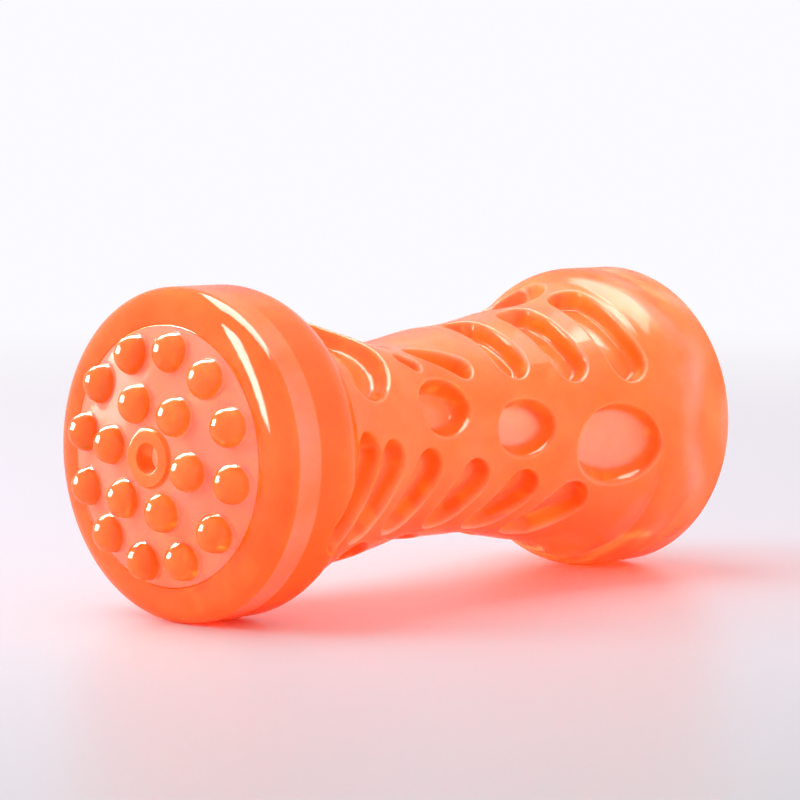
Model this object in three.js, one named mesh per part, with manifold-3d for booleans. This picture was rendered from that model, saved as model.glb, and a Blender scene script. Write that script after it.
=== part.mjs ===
// A squeaking dog chew stick of soft translucent rubber, lying on its two round collars.
// Millimetres, +Z up. The stick's axis runs along X, with the squeaker end at -X.
// The origin is on the ground, under the middle of the stick.
import * as THREE from 'three';
import { mergeVertices } from 'three/addons/utils/BufferGeometryUtils.js';
import Module from 'manifold-3d';

const wasm = await Module();
wasm.setup();

// Body: a spool with two collars and a slim waist
const BODY_LENGTH = 127.6;
const COLLAR_RADIUS = 30;
const COLLAR_WIDTH = 14.4;
const COLLAR_BACK_ROUND = 8.9;
const COLLAR_BACK_TURN = 44;
const WAIST_RADIUS = 19.9;
const RIM_WIDTH = 6.6;
const RIM_ROUND = 3.5;

// Chewing pockets round the waist: rows of slots alternate with rows of dimples
const POCKET_DEPTH = 4;
const POCKET_WALL = 4.6;
const RIDGE_ANGLE = 6;

// Stations are shares of the way from the middle of the waist to the shoulder
const HIGH_STATIONS = [0.27, 0.58, 0.87];
const LOW_STATIONS = [-0.97, -0.75, -0.45, -0.1, 0.23, 0.54, 0.88];
const DIMPLES = [
  { station: -0.76, length: 20, span: 39 },
  { station: -0.26, length: 15.5, span: 33 },
  { station: 0.25, length: 15.5, span: 33 },
  { station: 0.78, length: 20, span: 39 },
];

// Row angles in degrees run from straight up towards -Y, and every row winds along the body
const WIND = 27.4;
const WIND_BEND = -7.3;
const LOW_BEND = 5;
const DIMPLE_WIND = 2;
const HIGH_SLOT_ROW = {
  angle: 21, span: 62, lean: 3, width: 8.4, nearBend: WIND_BEND, stations: HIGH_STATIONS,
};
const NEAR_POCKET_ROW = { angle: 53, span: 73, lean: 0, width: 20.6, nearBend: 0, stations: [-0.78] };
const SHORT_SLOT_ROW = { angle: 53, span: 18, lean: 55, width: 3.8, nearBend: 0, stations: [-0.37] };
const LEANING_SLOT_ROW = { angle: 43.5, span: 44, lean: 57, width: 5.8, nearBend: 0, stations: [-0.13] };
const FACING_DIMPLE_ROW = { angle: 79, lean: 0, nearBend: WIND_BEND, dimples: DIMPLES.slice(1) };
const LOW_SLOT_ROW = {
  angle: 126, span: 51, lean: -30, width: 9.2, nearBend: LOW_BEND, stations: LOW_STATIONS.slice(0, -1),
};
const HIDDEN_ANGLES = [174, 212.5, 251, 289.5, 328];
const HIDDEN_ROW = { span: 38, width: 7.4, nearBend: LOW_BEND, stations: LOW_STATIONS, dimples: DIMPLES };
const HIDDEN_END_ANGLE = 382;

// The top of the waist dips a little behind the front collar
const DIP_DEPTH = 3.3;
const DIP_X = -14;
const DIP_HALF_LENGTH = 19;
const DIP_HALF_WIDTH = 16;

// End caps: domed discs with two rings of nubs, glued into the collars' mouths
const FIT_GAP = 0.3;
const CAP_EDGE = 5.5;
const CAP_SEAT = 4.4;
const DOME_RISE = 4;
const NUB_RADIUS = 3.5;
const NUB_HEIGHT = 3.7;
const NUB_ROOT = 1.6;
const NUB_EDGE_MARGIN = 4;
const NUB_RING_PITCH = 9.1;
const OUTER_NUBS = 12;
const INNER_NUBS = 6;
const NUB_TURN = 19.5;
const BOSS_RADIUS = 5.2;
const BOSS_RISE = 0.6;
const VENT_RADIUS = 2.75;
const VENT_WALL = 3.4;
const BLIND_VENT_DEPTH = 1.6;

// Squeaker: a plastic cup in the front cap's socket, with a reed clamped over a grooved bed
const SQUEAKER_RADIUS = 7;
const SQUEAKER_LENGTH = 10.5;
const SQUEAKER_WALL = 1;
const SQUEAKER_HOLE = 1.6;
const SOCKET_WALL = 2.4;
const REED_THICKNESS = 0.4;
const REED_WIDTH = 3.6;
const REED_LENGTH = 4.8;
const REED_ROOT = 1.5;
const BED_LENGTH = 7.5;
const GROOVE_WIDTH = 2.6;
const GROOVE_DEPTH = 1.5;
const CLAMP_LENGTH = 2.4;

// Round pieces have this many flats, and one flat of each faces straight down
const FLATS = 24;
const NUB_FLATS = 10;
const NUB_STEPS = 3;
const ARC_STEPS = 4;
const WAIST_REACHES = [0, 0.3, 0.55, 0.8];
const DOME_REACHES = [0.4, 0.6, 0.8];
const SLOT_END_STEPS = 3;
const DIP_STEPS = 8;
const CUTTER_DEPTH = 12;
const CUTTER_RISE = 8;
const DIMPLE_STEPS = 6;

// Sizes worked out from those above
const rad = THREE.MathUtils.degToRad;
const rimX = BODY_LENGTH / 2;
const mouthRadius = COLLAR_RADIUS - RIM_WIDTH;
const capRadius = mouthRadius - FIT_GAP;
const backRise = COLLAR_BACK_ROUND * (1 - Math.cos(rad(COLLAR_BACK_TURN)));
const backRun = COLLAR_BACK_ROUND * Math.sin(rad(COLLAR_BACK_TURN));
const shoulderX = rimX - COLLAR_WIDTH - backRun;
const shoulderRadius = COLLAR_RADIUS - backRise;
const seatX = rimX - CAP_EDGE - FIT_GAP;
const boreAtWaist = WAIST_RADIUS - POCKET_DEPTH - POCKET_WALL;
const boreAtSeat = mouthRadius - CAP_SEAT;

// A round flat-sided piece about the Y axis from an outline of [radius, height] points.
// The radius is that of the flats.
function turned(outline, flats = FLATS) {
  const toCorner = 1 / Math.cos(Math.PI / flats);
  const points = outline.map(([radius, height]) => new THREE.Vector2(radius * toCorner, height));
  return new THREE.LatheGeometry(points, flats, Math.PI / flats);
}

// A closed solid from a three.js geometry, with its shared points merged
function solid(geometry) {
  const bare = geometry.index ? geometry.toNonIndexed() : geometry.clone();
  bare.deleteAttribute('normal');
  bare.deleteAttribute('uv');
  const merged = mergeVertices(bare, 1e-4);
  const index = merged.index.array;
  const corners = [];
  for (let i = 0; i < index.length; i += 3) {
    const [a, b, c] = [index[i], index[i + 1], index[i + 2]];
    if (a !== b && b !== c && c !== a) corners.push(a, b, c);
  }
  return new wasm.Manifold(new wasm.Mesh({
    numProp: 3,
    vertProperties: new Float32Array(merged.attributes.position.array),
    triVerts: new Uint32Array(corners),
  }));
}

// A three.js geometry from a solid
function geometryOf(body) {
  const mesh = body.getMesh();
  const geometry = new THREE.BufferGeometry();
  geometry.setAttribute('position', new THREE.BufferAttribute(mesh.vertProperties, 3));
  geometry.setIndex(new THREE.BufferAttribute(mesh.triVerts, 1));
  geometry.computeVertexNormals();
  return geometry;
}

function mesh(name, geometry, material) {
  const piece = new THREE.Mesh(geometry, material);
  piece.name = name;
  return piece;
}

const rubber = new THREE.MeshStandardMaterial({ color: 0xf5722e, roughness: 0.22, metalness: 0 });
const squeakerPlastic = new THREE.MeshStandardMaterial({ color: 0xe9e4da, roughness: 0.45, metalness: 0 });
const reedFilm = new THREE.MeshStandardMaterial({ color: 0xd8d2c4, roughness: 0.3, metalness: 0 });

// The waist swells towards both shoulders as a parabola
function bodyRadius(x) {
  const reach = x / shoulderX;
  return WAIST_RADIUS + (shoulderRadius - WAIST_RADIUS) * reach * reach;
}
function bodySlope(x) {
  return 2 * (shoulderRadius - WAIST_RADIUS) * x / (shoulderX * shoulderX);
}

// Outlines of one half of the body: from the middle of the waist out to the rim, and in along the bore
function halfOutline() {
  const outer = WAIST_REACHES.map((reach) => [bodyRadius(reach * shoulderX), reach * shoulderX]);
  for (let k = 0; k <= ARC_STEPS; k += 1) {
    const turn = rad(COLLAR_BACK_TURN) * (1 - k / ARC_STEPS);
    const drop = COLLAR_BACK_ROUND * (1 - Math.cos(turn));
    outer.push([COLLAR_RADIUS - drop, rimX - COLLAR_WIDTH - COLLAR_BACK_ROUND * Math.sin(turn)]);
  }
  for (let k = 0; k <= ARC_STEPS; k += 1) {
    const turn = Math.PI / 2 * k / ARC_STEPS;
    outer.push([mouthRadius + RIM_WIDTH * Math.cos(turn), rimX - RIM_ROUND * (1 - Math.sin(turn))]);
  }
  const bore = [[mouthRadius, seatX], [boreAtSeat, seatX], [boreAtWaist, 0]];
  return { outer, bore };
}

// A wedge along the whole body, between two planes through its axis
function sector(angle, span) {
  const reach = 2 * COLLAR_RADIUS;
  const shape = new THREE.Shape();
  for (const turn of [angle - span / 2, angle, angle + span / 2]) {
    shape.lineTo(reach * Math.sin(rad(turn)), reach * Math.cos(rad(turn)));
  }
  shape.lineTo(0, 0);
  const wedge = new THREE.ExtrudeGeometry(shape, { depth: BODY_LENGTH, bevelEnabled: false });
  wedge.translate(0, 0, -rimX);
  const towards = new THREE.Vector3(0, -1, 0);
  const up = new THREE.Vector3(0, 0, 1);
  wedge.applyMatrix4(new THREE.Matrix4().makeBasis(towards, up, towards.clone().cross(up)));
  return solid(wedge);
}

// A pocket cutter: a flat shape pushed square into the body's surface at a station and an angle.
// It keeps within the row's span, so that a ridge stands between the rows all the way down.
function pocketCutter(shape, steps, x, angle, lean, span) {
  const a = rad(angle);
  const slope = bodySlope(x);
  const radius = bodyRadius(x);
  const around = new THREE.Vector3(0, -Math.cos(a), -Math.sin(a));
  const along = new THREE.Vector3(1, -slope * Math.sin(a), slope * Math.cos(a)).normalize();
  const out = new THREE.Vector3(-slope, -Math.sin(a), Math.cos(a)).normalize();
  const place = new THREE.Matrix4().makeBasis(around, along, out);
  const surface = new THREE.Vector3(x, -radius * Math.sin(a), radius * Math.cos(a));
  place.setPosition(surface.addScaledVector(out, -CUTTER_DEPTH));
  const cutter = new THREE.ExtrudeGeometry(shape, {
    depth: CUTTER_DEPTH + CUTTER_RISE,
    bevelEnabled: false,
    curveSegments: steps,
  });
  cutter.rotateZ(rad(lean));
  return solid(cutter.applyMatrix4(place)).intersect(sector(angle, span - RIDGE_ANGLE));
}

// A slot: straight sides and round ends, lying across the body
function slotShape(length, width) {
  const half = width / 2;
  const reach = Math.max(length / 2 - half, half / 4);
  const shape = new THREE.Shape();
  shape.absarc(reach, 0, half, -Math.PI / 2, Math.PI / 2, false);
  shape.absarc(-reach, 0, half, Math.PI / 2, 3 * Math.PI / 2, false);
  return shape;
}

// A dimple: an oval, longer along the body than across it
function dimpleShape(length, across) {
  const shape = new THREE.Shape();
  shape.absellipse(0, 0, across / 2, length / 2, 0, 2 * Math.PI, false, 0);
  return shape;
}

// The chord across the body that spans an angle at a station
function chord(x, span) {
  return 2 * bodyRadius(x) * Math.sin(rad(span) / 2);
}

// A row's angle at a station
function rowAngle(row, station) {
  const bend = station < 0 ? row.nearBend : WIND_BEND;
  return row.angle + WIND * station + bend * station * station;
}

function slotCutters(row) {
  return row.stations.map((station) => {
    const x = station * shoulderX;
    const shape = slotShape(chord(x, row.span), row.width);
    return pocketCutter(shape, SLOT_END_STEPS, x, rowAngle(row, station), row.lean, row.span);
  });
}

function dimpleCutters(row) {
  return row.dimples.map(({ station, length, span }) => {
    const x = station * shoulderX;
    const shape = dimpleShape(length, chord(x, span));
    const angle = rowAngle(row, station) + DIMPLE_WIND * station;
    return pocketCutter(shape, DIMPLE_STEPS, x, angle, row.lean, span);
  });
}

// Rows of slots and of dimples take turns on the far side. Their lean runs on from the low slot row's
// round to the high one's.
function hiddenCutters(angle, k) {
  const share = (angle - LOW_SLOT_ROW.angle) / (HIDDEN_END_ANGLE - LOW_SLOT_ROW.angle);
  const lean = LOW_SLOT_ROW.lean + share * (HIGH_SLOT_ROW.lean - LOW_SLOT_ROW.lean);
  const row = { ...HIDDEN_ROW, angle, lean };
  return k % 2 ? slotCutters(row) : dimpleCutters(row);
}

// What lies below the pockets' floors: the body as far as its rims, thinner by the pockets' depth
function pocketCore() {
  const right = halfOutline().outer.slice(0, -ARC_STEPS);
  const thin = right.map(([radius, x]) => [radius - POCKET_DEPTH, x]);
  const left = thin.slice(1).map(([radius, x]) => [radius, -x]).reverse();
  const end = thin[thin.length - 1][1];
  const core = turned([[0, -end], ...left, ...thin, [0, end]]);
  core.rotateZ(-Math.PI / 2);
  return solid(core);
}

// The cutter for the dip: a block whose underside sags between the dip's two ends
function dipCutter() {
  const shape = new THREE.Shape();
  for (let k = 0; k <= DIP_STEPS; k += 1) {
    const share = 2 * k / DIP_STEPS - 1;
    const x = DIP_X + share * DIP_HALF_LENGTH;
    const height = bodyRadius(x) - DIP_DEPTH * (1 - share * share) ** 2;
    if (k) shape.lineTo(x, height);
    else shape.moveTo(x, height);
  }
  shape.lineTo(DIP_X + DIP_HALF_LENGTH, COLLAR_RADIUS + CUTTER_RISE);
  shape.lineTo(DIP_X - DIP_HALF_LENGTH, COLLAR_RADIUS + CUTTER_RISE);
  const cutter = new THREE.ExtrudeGeometry(shape, { depth: 2 * DIP_HALF_WIDTH, bevelEnabled: false });
  cutter.rotateX(Math.PI / 2);
  cutter.translate(0, DIP_HALF_WIDTH, 0);
  return solid(cutter);
}

// Body shell: one hollow moulding, open at both ends
function bodyShell() {
  const { outer, bore } = halfOutline();
  const mirrored = (outline) => outline.map(([radius, x]) => [radius, -x]).reverse();
  const loop = [...mirrored(outer.slice(1)), ...outer, ...bore, ...mirrored(bore.slice(0, -1))];
  loop.push(loop[0]);
  const spool = turned(loop);
  spool.rotateZ(-Math.PI / 2);
  const cutters = [
    ...slotCutters(HIGH_SLOT_ROW),
    ...slotCutters(NEAR_POCKET_ROW),
    ...slotCutters(SHORT_SLOT_ROW),
    ...slotCutters(LEANING_SLOT_ROW),
    ...dimpleCutters(FACING_DIMPLE_ROW),
    ...slotCutters(LOW_SLOT_ROW),
    ...HIDDEN_ANGLES.flatMap(hiddenCutters),
  ];
  const pockets = wasm.Manifold.union(cutters).subtract(pocketCore());
  const body = solid(spool).subtract(pockets).subtract(dipCutter());
  return mesh('body_shell', geometryOf(body), rubber);
}

// Height of a cap's face above the rim at a distance from the axis
function domeHeight(distance) {
  const share = distance / capRadius;
  return DOME_RISE * (1 - share * share);
}

// Outline of a cap's face, from the boss's edge out over the dome and down the cap's side
function faceOutline() {
  const outline = [[BOSS_RADIUS, DOME_RISE + BOSS_RISE], [BOSS_RADIUS, domeHeight(BOSS_RADIUS)]];
  for (const share of DOME_REACHES) {
    const distance = BOSS_RADIUS + share * (capRadius - BOSS_RADIUS);
    outline.push([distance, domeHeight(distance)]);
  }
  outline.push([capRadius, 0], [capRadius, -CAP_EDGE]);
  return outline;
}

// Two rings of round-topped nubs on a cap's face
function addNubs(cap) {
  const outline = [[0, -NUB_ROOT], [NUB_RADIUS, -NUB_ROOT]];
  for (let k = 0; k <= NUB_STEPS; k += 1) {
    const turn = Math.PI / 2 * k / NUB_STEPS;
    outline.push([NUB_RADIUS * Math.cos(turn), NUB_HEIGHT * Math.sin(turn)]);
  }
  const outerRing = capRadius - NUB_EDGE_MARGIN;
  const rings = [[outerRing, OUTER_NUBS], [outerRing - NUB_RING_PITCH, INNER_NUBS]];
  let studded = cap;
  for (const [distance, count] of rings) {
    for (let k = 0; k < count; k += 1) {
      const turn = rad(NUB_TURN) + 2 * Math.PI * k / count;
      const nub = turned(outline, NUB_FLATS);
      nub.translate(distance * Math.sin(turn), domeHeight(distance), distance * Math.cos(turn));
      studded = studded.add(solid(nub));
    }
  }
  return studded;
}

// Squeaker places along the cap's own axis, measured from the rim and positive outwards
const socketRoof = DOME_RISE - VENT_WALL;
const socketRadius = SQUEAKER_RADIUS + FIT_GAP;
const squeakerFront = socketRoof - FIT_GAP;
const squeakerBack = squeakerFront - SQUEAKER_LENGTH;
const cupRadius = SQUEAKER_RADIUS - SQUEAKER_WALL;
const insertRadius = cupRadius - FIT_GAP;
const insertBack = squeakerBack + FIT_GAP;
const reedSeat = REED_THICKNESS / 2 + FIT_GAP;
const reedHinge = insertBack + CLAMP_LENGTH;

// Front cap: a vent through its boss, and a socket behind it for the squeaker
function frontCap() {
  const neckRadius = socketRadius + SOCKET_WALL;
  const loop = [
    [VENT_RADIUS, socketRoof],
    [socketRadius, socketRoof],
    [socketRadius, squeakerBack],
    [neckRadius, squeakerBack],
    [neckRadius, -CAP_EDGE],
    ...faceOutline().reverse(),
    [VENT_RADIUS, DOME_RISE + BOSS_RISE],
    [VENT_RADIUS, socketRoof],
  ];
  return mesh('front_end_cap', geometryOf(addNubs(solid(turned(loop)))), rubber);
}

// Rear cap: the same face with a blind dimple in its boss, and a plain back
function rearCap() {
  const dimpleFloor = DOME_RISE + BOSS_RISE - BLIND_VENT_DEPTH;
  const loop = [
    [0, -CAP_EDGE],
    ...faceOutline().reverse(),
    [VENT_RADIUS, DOME_RISE + BOSS_RISE],
    [VENT_RADIUS, dimpleFloor],
    [0, dimpleFloor],
  ];
  return mesh('rear_end_cap', geometryOf(addNubs(solid(turned(loop)))), rubber);
}

// Squeaker cup: air hole in its front wall, open behind
function squeakerShell() {
  const loop = [
    [SQUEAKER_HOLE, squeakerFront - SQUEAKER_WALL],
    [cupRadius, squeakerFront - SQUEAKER_WALL],
    [cupRadius, squeakerBack],
    [SQUEAKER_RADIUS, squeakerBack],
    [SQUEAKER_RADIUS, squeakerFront],
    [SQUEAKER_HOLE, squeakerFront],
    [SQUEAKER_HOLE, squeakerFront - SQUEAKER_WALL],
  ];
  return mesh('squeaker_shell', geometryOf(solid(turned(loop))), squeakerPlastic);
}

// A flat shape drawn across the squeaker and run inwards from a place on its axis
function insert(shape, from, length) {
  const run = new THREE.ExtrudeGeometry(shape, {
    depth: length,
    bevelEnabled: false,
    curveSegments: FLATS / 2,
  });
  run.rotateX(Math.PI / 2);
  run.translate(0, from, 0);
  return geometryOf(solid(run));
}

// Reed bed: the lower half of the squeaker's insert, with an air groove under the reed
function reedBed() {
  const tilt = Math.asin(reedSeat / insertRadius);
  const half = GROOVE_WIDTH / 2;
  const shape = new THREE.Shape();
  shape.absarc(0, 0, insertRadius, Math.PI + tilt, 2 * Math.PI - tilt, false);
  shape.lineTo(half, -reedSeat);
  shape.lineTo(half, -reedSeat - GROOVE_DEPTH);
  shape.lineTo(-half, -reedSeat - GROOVE_DEPTH);
  shape.lineTo(-half, -reedSeat);
  return mesh('squeaker_reed_bed', insert(shape, insertBack + BED_LENGTH, BED_LENGTH), squeakerPlastic);
}

// Reed clamp: the upper half of the insert, which pinches the reed's root
function reedClamp() {
  const tilt = Math.asin(reedSeat / insertRadius);
  const shape = new THREE.Shape();
  shape.absarc(0, 0, insertRadius, tilt, Math.PI - tilt, false);
  return mesh('squeaker_reed_clamp', insert(shape, insertBack + CLAMP_LENGTH, CLAMP_LENGTH), squeakerPlastic);
}

// Reed: a thin tongue that flutters about the clamp's edge
function reed() {
  const tongue = new THREE.BoxGeometry(REED_WIDTH, REED_LENGTH + REED_ROOT, REED_THICKNESS);
  tongue.translate(0, reedHinge + (REED_LENGTH - REED_ROOT) / 2, 0);
  return mesh('squeaker_reed', geometryOf(solid(tongue)), reedFilm);
}

// Assembly: the body lies on its collars, and each end group looks outwards along the axis
const frontEnd = new THREE.Group();
frontEnd.add(frontCap(), squeakerShell(), reedBed(), reedClamp(), reed());
frontEnd.rotation.z = Math.PI / 2;
frontEnd.position.x = -rimX;

const rearEnd = new THREE.Group();
rearEnd.add(rearCap());
rearEnd.rotation.z = -Math.PI / 2;
rearEnd.position.x = rimX;

const chewStick = new THREE.Group();
chewStick.add(bodyShell(), frontEnd, rearEnd);
chewStick.position.z = COLLAR_RADIUS;

export default chewStick;
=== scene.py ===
import math

import bmesh
import bpy
import numpy as np
from mathutils import Matrix, Vector
from mathutils.geometry import delaunay_2d_cdt


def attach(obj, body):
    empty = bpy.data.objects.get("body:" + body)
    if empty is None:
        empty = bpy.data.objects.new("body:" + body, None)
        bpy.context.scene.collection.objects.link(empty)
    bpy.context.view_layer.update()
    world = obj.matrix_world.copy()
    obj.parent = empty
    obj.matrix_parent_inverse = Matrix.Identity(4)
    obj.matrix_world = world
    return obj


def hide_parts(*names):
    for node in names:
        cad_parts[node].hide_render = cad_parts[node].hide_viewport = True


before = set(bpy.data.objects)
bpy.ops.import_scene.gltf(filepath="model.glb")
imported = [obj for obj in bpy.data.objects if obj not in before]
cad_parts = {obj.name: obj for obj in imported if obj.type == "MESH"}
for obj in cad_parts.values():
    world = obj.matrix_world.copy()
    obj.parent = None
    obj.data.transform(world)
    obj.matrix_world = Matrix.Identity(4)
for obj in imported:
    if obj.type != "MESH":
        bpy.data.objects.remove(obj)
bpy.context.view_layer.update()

# Body shell: one hollow moulding of soft, slightly see-through orange rubber, turned like a spool.
# It swells from a slim waist to a round collar at each end, and the stick lies on the two collars.
# Slots and oval dimples, cast in rows that wind along the waist, give the teeth something to grip.

AXIS_HEIGHT = 0.030
COLLAR_RADIUS = 0.030
RIM_X = 0.0638
COLLAR_WIDTH = 0.0144
BACK_ROUND = 0.0089
BACK_TURN = math.radians(44)
WAIST_RADIUS = 0.0199
RIM_WIDTH = 0.0066
RIM_ROUND = 0.0035
MOUTH_EDGE = 0.0002
SEAT_X = 0.0580
BORE_AT_SEAT = 0.0190
BORE_AT_WAIST = 0.0113
mouth_radius = COLLAR_RADIUS - RIM_WIDTH
shoulder_x = RIM_X - COLLAR_WIDTH - BACK_ROUND * math.sin(BACK_TURN)
shoulder_radius = COLLAR_RADIUS - BACK_ROUND * (1 - math.cos(BACK_TURN))
shoulder_rise = shoulder_radius - WAIST_RADIUS

COLUMNS = 640
WAIST_ROWS = 165
BACK_ROWS = 18
COLLAR_ROWS = 24
RIM_ROWS = 20
MOUTH_EDGE_ROWS = 5
MOUTH_ROWS = 4
SEAT_ROWS = 4
BORE_ROWS = 12


def body_radius(x):
    return WAIST_RADIUS + shoulder_rise * (x / shoulder_x) ** 2


def body_slope(x):
    return 2 * shoulder_rise * x / shoulder_x ** 2


def half_outline():
    """Points and outward normals from the middle of the waist, out over the collar and in to the bore."""
    rows = []
    for x in np.linspace(0, shoulder_x, WAIST_ROWS, endpoint=False):
        tilt = math.atan(body_slope(x))
        rows.append((x, body_radius(x), -math.sin(tilt), math.cos(tilt)))
    for turn in np.linspace(BACK_TURN, 0, BACK_ROWS, endpoint=False):
        x = RIM_X - COLLAR_WIDTH - BACK_ROUND * math.sin(turn)
        radius = COLLAR_RADIUS - BACK_ROUND * (1 - math.cos(turn))
        rows.append((x, radius, -math.sin(turn), math.cos(turn)))
    for x in np.linspace(RIM_X - COLLAR_WIDTH, RIM_X - RIM_ROUND, COLLAR_ROWS, endpoint=False):
        rows.append((x, COLLAR_RADIUS, 0, 1))
    flat_rim = RIM_WIDTH - MOUTH_EDGE
    for turn in np.linspace(0, math.pi / 2, RIM_ROWS):
        across, out = math.cos(turn), math.sin(turn)
        steep = math.hypot(out * flat_rim, across * RIM_ROUND)
        x = RIM_X - RIM_ROUND * (1 - out)
        radius = mouth_radius + MOUTH_EDGE + flat_rim * across
        rows.append((x, radius, out * flat_rim / steep, across * RIM_ROUND / steep))
    for turn in np.linspace(math.pi / 2, math.pi, MOUTH_EDGE_ROWS)[1:]:
        x = RIM_X - MOUTH_EDGE * (1 - math.sin(turn))
        radius = mouth_radius + MOUTH_EDGE * (1 + math.cos(turn))
        rows.append((x, radius, math.sin(turn), math.cos(turn)))
    for x in np.linspace(RIM_X - 2 * MOUTH_EDGE, SEAT_X, MOUTH_ROWS):
        rows.append((x, mouth_radius, 0, -1))
    for radius in np.linspace(mouth_radius, BORE_AT_SEAT, SEAT_ROWS)[1:]:
        rows.append((SEAT_X, radius, 1, 0))
    for share in np.linspace(1, 0, BORE_ROWS)[1:]:
        radius = BORE_AT_WAIST + (BORE_AT_SEAT - BORE_AT_WAIST) * share
        rows.append((SEAT_X * share, radius, 0, -1))
    return np.array(rows)


right = half_outline()
left = right * np.array([-1, 1, -1, 1])
outer_rows = WAIST_ROWS + BACK_ROWS + COLLAR_ROWS + RIM_ROWS
outline = np.concatenate([
    left[1:outer_rows][::-1],
    right,
    left[outer_rows:-1][::-1],
])
is_outer = np.concatenate([
    np.ones(outer_rows - 1, bool),
    np.arange(len(right)) < outer_rows,
    np.zeros(len(right) - outer_rows - 1, bool),
])

around = np.linspace(0, 2 * math.pi, COLUMNS, endpoint=False)
x_rows, r_rows, nx_rows, nr_rows = (outline[:, k][:, None] for k in range(4))
sine, cosine = np.sin(around)[None, :], np.cos(around)[None, :]
surface = np.stack([x_rows + 0 * sine, -r_rows * sine, r_rows * cosine], axis=-1)
normals = np.stack([nx_rows + 0 * sine, -nr_rows * sine, nr_rows * cosine], axis=-1)

SLOT_DEPTH = 0.0038
DIMPLE_DEPTH = 0.0042
LIP_ROUND = 0.0005
FOOT_ROUND = 0.0007
ROUND_STEPS = 7
WALL_TURN = math.radians(76)
# Painted highlight along pocket lips; on slots it grows from a quarter at one end to full at the other
SLOT_LIP_HIGHLIGHT = (0.25, 1)
DIMPLE_LIP_HIGHLIGHT = 0.5

# Stations are shares of the way to the shoulder. Angles are degrees from straight up towards -Y
HIGH_STATIONS = (0.27, 0.58, 0.87)
LOW_STATIONS = (-0.97, -0.75, -0.45, -0.10, 0.23, 0.54, 0.88)
DIMPLES = ((-0.76, 0.0200, 39), (-0.26, 0.0155, 33), (0.25, 0.0155, 33), (0.78, 0.0200, 39))
DIMPLE_WIND = 2
DIMPLE_DRAFT = (1.2, 0.5)
# Painted light on the dimple floors, from none at the front dimple to nearly full at the rear ones
DIMPLE_FLOOR_STATIONS = (-0.76, 0.25)
DIMPLE_FLOOR_LIGHTS = (0, 0.95)
DIMPLE_CENTRE = 0.05
WIND = 27.4
WIND_BEND = -7.3
LOW_BEND = 5
# In each row the floor value paints light on the pocket floors
HIGH_SLOT_ROW = dict(
    angle=21, span=62, lean=3, width=0.0084,
    near_bend=WIND_BEND, stations=HIGH_STATIONS, pocket_floor_light=0.1,
)
NEAR_POCKET_ROW = dict(
    angle=53, span=73, lean=0, width=0.0206,
    near_bend=0, stations=(-0.78,), pocket_floor_light=0,
)
SHORT_SLOT_ROW = dict(
    angle=53, span=18, lean=55, width=0.0038,
    near_bend=0, stations=(-0.37,), pocket_floor_light=0,
)
LEANING_SLOT_ROW = dict(
    angle=43.5, span=44, lean=57, width=0.0058,
    near_bend=0, stations=(-0.13,), pocket_floor_light=0,
)
FACING_DIMPLE_ROW = dict(angle=79, lean=0, near_bend=WIND_BEND, dimples=DIMPLES[1:])
LOW_SLOT_ROW = dict(
    angle=126, span=51, lean=-30, width=0.0092,
    near_bend=LOW_BEND, stations=LOW_STATIONS[:-1], pocket_floor_light=0.45,
)
HIDDEN_ANGLES = (174, 212.5, 251, 289.5, 328)
HIDDEN_END_ANGLE = 382
HIDDEN_ROW = dict(
    span=38, width=0.0074,
    near_bend=LOW_BEND, stations=LOW_STATIONS, pocket_floor_light=0.5, dimples=DIMPLES,
)
FACING_LIMIT = 0.2
OUT_OF_REACH = 1.0

depth = np.zeros(surface.shape[:2])
wall = np.zeros(surface.shape[:2])
lip = np.zeros(surface.shape[:2])
painted_floor_light = np.zeros(surface.shape[:2])


def pocket_section(how_deep):
    """Steps in from the lip and down to the floor: a round lip, a steep wall and a round foot."""
    turns = np.linspace(0, WALL_TURN, ROUND_STEPS)
    edge = [(LIP_ROUND * math.sin(t), LIP_ROUND * (1 - math.cos(t))) for t in turns]
    foot_drop = FOOT_ROUND * (1 - math.cos(WALL_TURN))
    run = (how_deep - foot_drop - edge[-1][1]) / math.tan(WALL_TURN)
    start = edge[-1][0] + run + FOOT_ROUND * math.sin(WALL_TURN)
    foot = [(start - FOOT_ROUND * math.sin(t), how_deep - FOOT_ROUND * (1 - math.cos(t)))
            for t in turns[::-1]]
    return np.array(edge + foot).T


def sink(inside, how_deep, pocket_floor_light, lip_highlight):
    """Lowers the surface inside an outline, with painted shade on its wall, painted light on its floor and a
    painted highlight along its thin lip.
    """
    steps, drops = pocket_section(how_deep)
    inwards = inside + LIP_ROUND / 2
    fall = np.interp(inwards, steps, drops)
    share = fall / how_deep
    # Painted highlight along the lip
    lip[:] = np.maximum(lip, lip_highlight * (1 - np.abs(inwards - LIP_ROUND / 2) / LIP_ROUND))
    deeper = fall > depth
    depth[deeper] = fall[deeper]
    # Painted shade on the wall, strongest halfway down
    wall[deeper] = (4 * share * (1 - share))[deeper]
    # Painted light on the floor, strongest where it is deepest
    painted_floor_light[deeper] = pocket_floor_light * share[deeper] ** 2


def pocket_frame(station, row):
    """Distances across and along the body from a pocket's middle, turned by its lean."""
    x = station * shoulder_x
    bend = row["near_bend"] if station < 0 else WIND_BEND
    a = math.radians(row["angle"] + WIND * station + bend * station ** 2)
    slope, radius = body_slope(x), body_radius(x)
    middle = np.array([x, -radius * math.sin(a), radius * math.cos(a)])
    across = np.array([0, -math.cos(a), -math.sin(a)])
    along = np.array([1, -slope * math.sin(a), slope * math.cos(a)]) / math.hypot(1, slope)
    out = np.cross(across, along)
    facing = (normals @ out > FACING_LIMIT) & is_outer[:, None]
    lean = math.radians(row["lean"])
    p, q = (surface - middle) @ across, (surface - middle) @ along
    s = math.cos(lean) * p + math.sin(lean) * q
    t = -math.sin(lean) * p + math.cos(lean) * q
    return np.where(facing, s, OUT_OF_REACH), np.where(facing, t, OUT_OF_REACH), radius


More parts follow.
